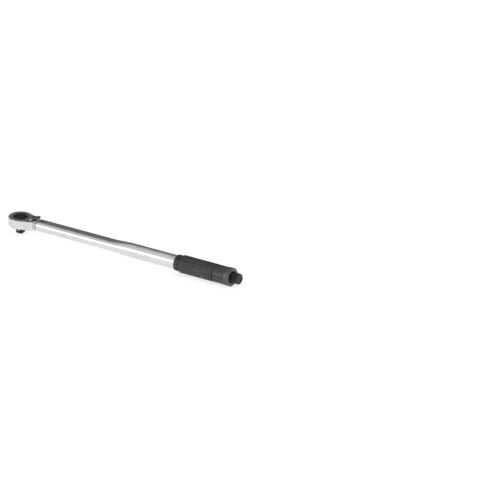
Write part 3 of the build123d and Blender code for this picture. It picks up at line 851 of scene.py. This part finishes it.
def wrap_mark(mesh, x, angle, radius, turn):
    """Lays a flat mark on the round surface at x and angle, turned in its own plane, with real thickness."""
    proud, sunk, longest = 0.035 * MM, 0.05 * MM, 0.6 * MM
    bm = bmesh.new()
    bm.from_mesh(mesh)
    bmesh.ops.rotate(bm, verts=bm.verts, matrix=Matrix.Rotation(turn, 3, "Z"))
    bmesh.ops.subdivide_edges(bm, edges=[e for e in bm.edges if e.calc_length() > longest], cuts=2)
    solid = bmesh.ops.extrude_face_region(bm, geom=bm.faces[:])
    raised = {v for v in solid["geom"] if isinstance(v, bmesh.types.BMVert)}
    for vert in bm.verts:
        level = radius + (proud if vert in raised else -sunk)
        at = angle + vert.co.y / radius
        vert.co = Vector((x + vert.co.x, level * cos(at), AXIS_Z + level * sin(at)))
    bmesh.ops.recalc_face_normals(bm, faces=bm.faces)
    wrapped = bpy.data.meshes.new("mark")
    bm.to_mesh(wrapped)
    bm.free()
    return wrapped


def flat_bar(length, width):
    mesh = bpy.data.meshes.new("bar")
    a, b = length / 2, width / 2
    mesh.from_pydata([(-a, -b, 0), (a, -b, 0), (a, b, 0), (-a, b, 0)], [], [(0, 1, 2, 3)])
    return mesh


def joined(name, meshes):
    bm = bmesh.new()
    for mesh in meshes:
        bm.from_mesh(mesh)
    result = bpy.data.meshes.new(name)
    bm.to_mesh(result)
    bm.free()
    return link(name, result)


def tube_scale():
    """Generic scale on the far side of the tube, ahead of the handle: a datum line, marks and numbers."""
    first = span("thimble")[0] - 4 * MM
    side = radians(10)
    line, pitch, bar, number_gap = 56 * MM, 6.5 * MM, 0.3 * MM, 3.4 * MM
    marks = [wrap_mark(flat_bar(line, 0.25 * MM), first - line / 2, side, TUBE_R, 0)]
    for index in range(9):
        x = first - index * pitch
        length = 5.0 * MM if index % 2 == 0 else 3.2 * MM
        marks.append(wrap_mark(flat_bar(bar, length), x, side - length / 2 / TUBE_R, TUBE_R, 0))
        if index % 2 == 0:
            number = flat_text(str(40 + index * 20), 3.6 * MM)
            marks.append(wrap_mark(number, x, side + number_gap / TUBE_R, TUBE_R, pi))
    scale = joined("tube_scale_marks", marks)
    return finish_piece(scale, "tube_body", ETCHED, "black_metal")


def thimble_scale():
    """Twenty divisions round the front of the handle, every second one longer and numbered."""
    x0, _, radius = span("thimble")
    divisions, bar, bar_gap, number_gap = 20, 0.35 * MM, 1.6 * MM, 7.2 * MM
    marks = []
    for index in range(divisions):
        angle = 2 * pi * index / divisions
        length = 3.2 * MM if index % 2 == 0 else 2.0 * MM
        marks.append(wrap_mark(flat_bar(length, bar), x0 + bar_gap + length / 2, angle, radius, 0))
        if index % 2 == 0:
            number = flat_text(str(index), 3.0 * MM)
            marks.append(wrap_mark(number, x0 + number_gap, angle, radius, pi))
    scale = joined("thimble_scale_marks", marks)
    return finish_piece(scale, "handle", MARKS, "steel")


# ---- handle ----


def thimble():
    """Front ring of the handle, with a groove behind its scale."""
    x0, x1, radius = span("thimble")
    groove_r = radius - 0.5 * MM
    bore = TUBE_R + 0.05 * MM
    outline = [(x0, bore + 0.3 * MM), (x0, radius - 1.0 * MM), (x0 + 1.2 * MM, radius),
               (x0 + 9.6 * MM, radius),
               (x0 + 9.9 * MM, groove_r), (x0 + 10.5 * MM, groove_r), (x0 + 10.8 * MM, radius),
               (x1, radius), (x1, bore)]
    ring = turned("thimble_ring", soften(outline, 0.16 * MM), 128)
    return finish_piece(ring, "handle", BLACK_METAL, "black_metal", "thimble")


def grip():
    """Moulded grip: twelve shallow flutes, soft ends and a cross-knurled rear band."""
    x0, x1, radius = span("grip")
    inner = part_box("handle_sleeve")[1].y
    outline = [(x0, inner), (x0, radius - 0.9 * MM), (x0 + 1.1 * MM, radius), (x1 - 1.1 * MM, radius),
               (x1, radius - 0.9 * MM), (x1, inner)]
    profile = densify(soften(outline, 0.5 * MM, 4), 0.9 * MM)
    band0, band1 = x1 - 15.5 * MM, x1 - 3.0 * MM
    flutes, flute_depth, knurl_depth = 12, 0.95 * MM, 0.45 * MM
    knurl_pitch = 2 * pi * radius / 36

    def shape(x, r, angle):
        if r < radius - 0.4 * MM:
            return r
        fade = smooth((x - x0 - 5 * MM) / (4 * MM)) * smooth((band0 - 3 * MM - x) / (4 * MM))
        phase = (angle * flutes / (2 * pi) + 0.5) % 1 - 0.5
        flute = max(0, 1 - (phase / 0.24) ** 2) ** 1.5
        knurl_zone = smooth((x - band0) / (0.8 * MM)) * smooth((band1 - x) / (0.8 * MM))
        along = x / knurl_pitch
        turnwise = angle * radius / knurl_pitch
        knurl = abs(sin(pi * (along + turnwise))) * abs(sin(pi * (along - turnwise)))
        return r - flute_depth * flute * fade - knurl_depth * (1 - knurl) ** 2 * knurl_zone

    body = turned("grip_body", profile, 288, shape, sharp=45)
    return finish_piece(body, "handle", GRIP, "black_grip", "grip")


def grip_button():
    """Small round index mark set in the grip."""
    x0, _, radius = span("grip")
    x = x0 + 46.5 * MM
    angle = radians(-152)
    profile = [(-1.2 * MM, 1.3 * MM), (0.05 * MM, 1.3 * MM), (0.2 * MM, 1.1 * MM), (0.26 * MM, 0.5 * MM)]
    button = upright("grip_index_mark", profile, 0, 0, 32)
    level = radius - 0.3 * MM
    out = Matrix.Translation((x, level * cos(angle), AXIS_Z + level * sin(angle)))
    button.data.transform(out @ Matrix.Rotation(angle - pi / 2, 4, "X"))
    return finish_piece(button, "handle", MARKS, "steel")


def lug_ring():
    """Ribbed rear ring: twelve raised lugs with soft edges."""
    x0, x1, _ = span("grip_lug_ring")
    low_r, high_r = 14.6 * MM, 15.9 * MM
    inner = 14.2 * MM
    outline = [(x0, inner), (x0, low_r), (x1, low_r), (x1, inner)]
    profile = densify(soften(outline, 0.25 * MM), 0.45 * MM)
    lugs, offset = 12, radians(7.5)
    front_plain, rear_plain = 0.3 * MM, 1.4 * MM

    def shape(x, r, angle):
        if r < low_r - 0.2 * MM:
            return r
        phase = ((angle - offset) * lugs / (2 * pi) + 0.5) % 1 - 0.5
        across = smooth((0.30 - abs(phase)) / 0.06)
        along = smooth((x - x0 - front_plain) / (0.7 * MM)) * smooth((x1 - rear_plain - x) / (0.9 * MM))
        return r + (high_r - low_r) * across * along

    ring = turned("grip_lugs", profile, 360, shape, sharp=50)
    return finish_piece(ring, "handle", LUGS, "black_grip", "grip_lug_ring")


def end_collar():
    """Grey metal end ring with a groove, a milled rear edge and a recessed mouth."""
    x0, x1, radius = span("end_collar")
    mouth, sleeve, groove_r = 10.8 * MM, 13.15 * MM, radius - 0.5 * MM
    bush_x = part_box("handle_bush")[1].x
    outline = [(x0, sleeve), (x0, radius - 0.8 * MM), (x0 + 0.8 * MM, radius), (x0 + 4.4 * MM, radius),
               (x0 + 4.7 * MM, groove_r), (x0 + 5.5 * MM, groove_r), (x0 + 5.8 * MM, radius),
               (x1 - 1.0 * MM, radius), (x1, radius - 1.2 * MM), (x1, mouth + 0.4 * MM),
               (x1 - 0.4 * MM, mouth),
               (bush_x, mouth), (bush_x, sleeve)]
    profile = densify(soften(outline, 0.2 * MM), 0.8 * MM)
    facets, facet_depth = 60, 0.28 * MM

    def shape(x, r, angle):
        milled = smooth((x - x0 - 6.3 * MM) / (0.4 * MM)) * smooth((r - radius + 0.9 * MM) / (0.3 * MM))
        phase = (angle * facets / (2 * pi) + 0.5) % 1 - 0.5
        return r - facet_depth * milled * max(0, 1 - abs(phase) / 0.22)

    collar = turned("end_collar_ring", profile, 480, shape, sharp=40)
    return finish_piece(collar, "handle", GREY_METAL, "grey_collar", "end_collar")


def collar_liner():
    """Black sleeve lining the collar's mouth: painted shade that darkens the recess where it lies in shadow.
    """
    x0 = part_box("handle_bush")[1].x + 0.05 * MM
    x1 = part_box("end_collar")[1].x - 0.6 * MM
    outer, inner = 10.78 * MM, 10.2 * MM
    outline = [(x0, outer), (x0, inner), (x1 - 0.4 * MM, inner), (x1, 10.5 * MM), (x1, outer)]
    # painted shade: a black lining that keeps the collar's shadowed mouth dark
    return finish_piece(turned("end_collar_mouth_shade", outline, 96), "handle", BLACK_METAL, "black_metal")


def lock_knob():
    """Lock knob with straight knurling, a plain chamfer and a dished end."""
    x0, x1, radius = span("lock_knob")
    outline = [(x0, 0.0), (x0, radius - 0.9 * MM), (x0 + 0.9 * MM, radius), (x1 - 1.1 * MM, radius),
               (x1, radius - 1.1 * MM), (x1, 6.2 * MM), (x1 - 0.9 * MM, 5.6 * MM), (x1 - 0.9 * MM, 0.0)]
    profile = densify(soften(outline, 0.2 * MM, closed=False), 0.7 * MM, closed=False)
    teeth, tooth_depth = 54, 0.42 * MM

    def shape(x, r, angle):
        zone = smooth((x - x0 - 1.4 * MM) / (0.5 * MM)) * smooth((x1 - 2.2 * MM - x) / (0.5 * MM))
        phase = (angle * teeth / (2 * pi) + 0.5) % 1 - 0.5
        groove = max(0, 1 - abs(phase) / 0.3)
        return r - tooth_depth * groove * zone if r > radius - 0.2 * MM else r

    knob = turned("lock_knob_body", profile[1:-1], 432, shape, closed=False, sharp=40)
    return finish_piece(knob, "knob", BLACK_METAL, "black_metal", "lock_knob")


# ---- inside ----


def coil(name, x0, x1, radius, wire, turns, first=0, last=None):
    """Closed-end compression spring along the tube axis, or its turns from first to last."""
    around, per_turn = 16, 40
    rings = []
    for k in range(first * per_turn, (turns if last is None else last) * per_turn + 1):
        turn = k / per_turn
        if turn < 1:
            rise = 2 * wire * turn
        elif turn > turns - 1:
            rise = (x1 - x0 - 2 * wire) - 2 * wire * (turns - turn)
        else:
            share = (turn - 1) / (turns - 2)
            rise = 2 * wire + (x1 - x0 - 6 * wire) * share
        angle = 2 * pi * turn
        centre = Vector((x0 + wire + rise, radius * cos(angle), AXIS_Z + radius * sin(angle)))
        outward = Vector((0, cos(angle), sin(angle)))
        ring = []
        for n in range(around):
            a = 2 * pi * n / around
            ring.append(tuple(centre + outward * (wire * cos(a)) + Vector((wire * sin(a), 0, 0))))
        rings.append(ring)
    return stacked(name, rings, closed=False)


def main_spring():
    """Torque spring: its two front turns follow the thrust plunger and the rest rides with the carrier."""
    low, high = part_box("main_spring")
    wire, turns, front_turns = 1.9 * MM, 13, 2
    sizes = (low.x, high.x, 8.1 * MM, wire, turns)
    front = coil("main_spring_front", *sizes, last=front_turns)
    finish_piece(front, "thrust", SPRING, "spring_steel")
    spring = coil("main_spring_coil", *sizes, first=front_turns)
    finish_piece(spring, "carrier", SPRING, "spring_steel", "main_spring")
    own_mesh(spring)


def detent_spring():
    """Small spring behind the drive's ball."""
    low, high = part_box("detent_spring")
    length = high.y - low.y
    z = centre_z("detent_spring")
    spring = coil("detent_spring_coil", 0, length, 1.3 * MM, 0.25 * MM, 6)
    place = Matrix.Translation((0, high.y, z)) @ Matrix.Rotation(-pi / 2, 4, "Z")
    spring.data.transform(place @ Matrix.Translation((0, 0, -AXIS_Z)))
    finish_piece(spring, "gear", SPRING, "spring_steel", "detent_spring")
    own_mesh(spring)


def plunger_spring():
    """Small spring that pushes the lever's plunger against the pawl."""
    x0, x1 = -1.9 * MM, 2.5 * MM
    spring = coil("plunger_spring_coil", x0, x1, 0.85 * MM, 0.18 * MM, 6)
    spring.data.transform(LEVER_PLACE @ Matrix.Translation((0, 0, PLUNGER_Z - AXIS_Z)))
    finish_piece(spring, "lever", SPRING, "spring_steel", "plunger_spring")
    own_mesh(spring)


KEPT_NODES = {
    "pawl": STEEL, "pawl_pin": STEEL, "pawl_plunger": STEEL, "detent_ball": STEEL, "tube_nut": BRONZE,
    "nut_pin_right": STEEL, "nut_pin_left": STEEL, "toggle_block": STEEL, "thrust_plunger": STEEL,
    "spring_seat": STEEL, "thrust_ball": STEEL, "adjusting_screw": STEEL, "handle_bush": BLACK_METAL,
    "bush_screws": BLACK_METAL, "handle_sleeve": BLACK_METAL, "lock_washer": BLACK_METAL, "lock_stud": STEEL,
}


def dress_kept_nodes():
    """The inner CAD parts keep their shapes and get their finishes."""
    for name, material in KEPT_NODES.items():
        for material_slot in frame["nodes"][name].material_slots:
            material_slot.material = material


# ---- stage ----


def floor():
    """Pale floor under the drive's end and the handle, so that the wrench rests on both."""
    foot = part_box("end_collar")
    slope = foot[0].z / foot[1].x
    size, gap, glow = 6.0, 0.1 * MM, 0.72
    verts = []
    for x, y in ((-size, -size), (size, -size), (size, size), (-size, size)):
        verts.append((x, y, slope * x - gap))
    mesh = bpy.data.meshes.new("floor")
    mesh.from_pydata(verts, [], [(0, 1, 2, 3)])
    plane = link("floor", mesh)
    g = Graph("floor_paper")
    g.colour(g.mix(g.noise(3, 2.0), (0.37, 0.37, 0.37), (0.40, 0.40, 0.40)))
    g.shader.inputs["Roughness"].default_value = 0.9
    g.shader.inputs["Emission Color"].default_value = (1, 1, 1, 1)
    g.shader.inputs["Emission Strength"].default_value = glow
    mesh.materials.append(g.material)


# The camera's direction, the width of its view at the object, its distance and the point it looks at.
VIEW_AZIMUTH = radians(32.5)
VIEW_ELEVATION = radians(25.0)
VIEW_WIDTH = 0.868
VIEW_DISTANCE = 18.0
AIM = Vector((0.3741, 0.1562, -0.002))


def view_back(azimuth, elevation):
    """Direction from the object towards a camera or light."""
    return Vector((sin(azimuth) * cos(elevation), -cos(azimuth) * cos(elevation), sin(elevation)))


def camera():
    """Long lens from far away, so that the view is nearly parallel."""
    data = bpy.data.cameras.new("camera")
    data.lens = data.sensor_width * VIEW_DISTANCE / VIEW_WIDTH
    data.clip_end = 60
    obj = bpy.data.objects.new("camera", data)
    back = view_back(VIEW_AZIMUTH, VIEW_ELEVATION)
    obj.location = AIM + back * VIEW_DISTANCE
    obj.rotation_euler = back.to_track_quat("Z", "Y").to_euler()
    bpy.context.scene.collection.objects.link(obj)
    bpy.context.scene.camera = obj


def softbox(name, azimuth, elevation, distance, width, height, power):
    """Rectangular light aimed at the middle of the tube."""
    data = bpy.data.lights.new(name, "AREA")
    data.shape = "RECTANGLE"
    data.size = width
    data.size_y = height
    data.energy = power
    obj = bpy.data.objects.new(name, data)
    back = view_back(radians(azimuth), radians(elevation))
    obj.location = Vector((0.22, 0, 0)) + back * distance
    obj.rotation_euler = back.to_track_quat("Z", "Y").to_euler()
    bpy.context.scene.collection.objects.link(obj)


DARK_SIDE = Vector((-0.487, 0.764, 0.38)).normalized()


def world():
    """Grey studio, nearly black on the side behind the wrench that its flat tops mirror."""
    scene_world = bpy.data.worlds.new("studio")
    scene_world.use_nodes = True
    nodes = scene_world.node_tree.nodes
    links = scene_world.node_tree.links
    coords = nodes.new("ShaderNodeTexCoord")
    toward = nodes.new("ShaderNodeVectorMath")
    toward.operation = "DOT_PRODUCT"
    toward.inputs[1].default_value = DARK_SIDE
    ramp = nodes.new("ShaderNodeValToRGB")
    links.new(coords.outputs["Generated"], toward.inputs[0])
    links.new(toward.outputs["Value"], ramp.inputs["Fac"])
    stops = ((0.15, 0.85), (0.58, 0.74), (0.84, 0.48), (0.93, 0.27), (1.0, 0.17))
    elements = ramp.color_ramp.elements
    while len(elements) < len(stops):
        elements.new(0.5)
    for element, (position, level) in zip(elements, stops):
        element.position = position
        element.color = (level, level, level * 1.02, 1)
    background = nodes["Background"]
    links.new(ramp.outputs["Color"], background.inputs["Color"])
    bpy.context.scene.world = scene_world


def lights():
    softbox("key", -28, 21, 1.8, 2.4, 0.85, 9.6)
    softbox("side", 62, 30, 1.8, 1.2, 0.8, 4.0)
    softbox("rear", 140, 40, 1.8, 1.1, 0.8, 3.0)


# ---- everything ----

ratchet_head()
lever_arm()
cover_plate()
cover_screw(-1, "right")
cover_screw(1, "left")
gear_cover()
neck_ring()
drive_square()
drive_gear()
lever()
lever_screw()
tube()
pivot_pin()
tube_scale()
thimble()
thimble_scale()
grip()
grip_button()
lug_ring()
end_collar()
collar_liner()
lock_knob()
main_spring()
detent_spring()
plunger_spring()
dress_kept_nodes()
floor()
world()
lights()
camera()
bpy.context.scene.view_settings.view_transform = "Standard"

bpy.context.view_layer.update()
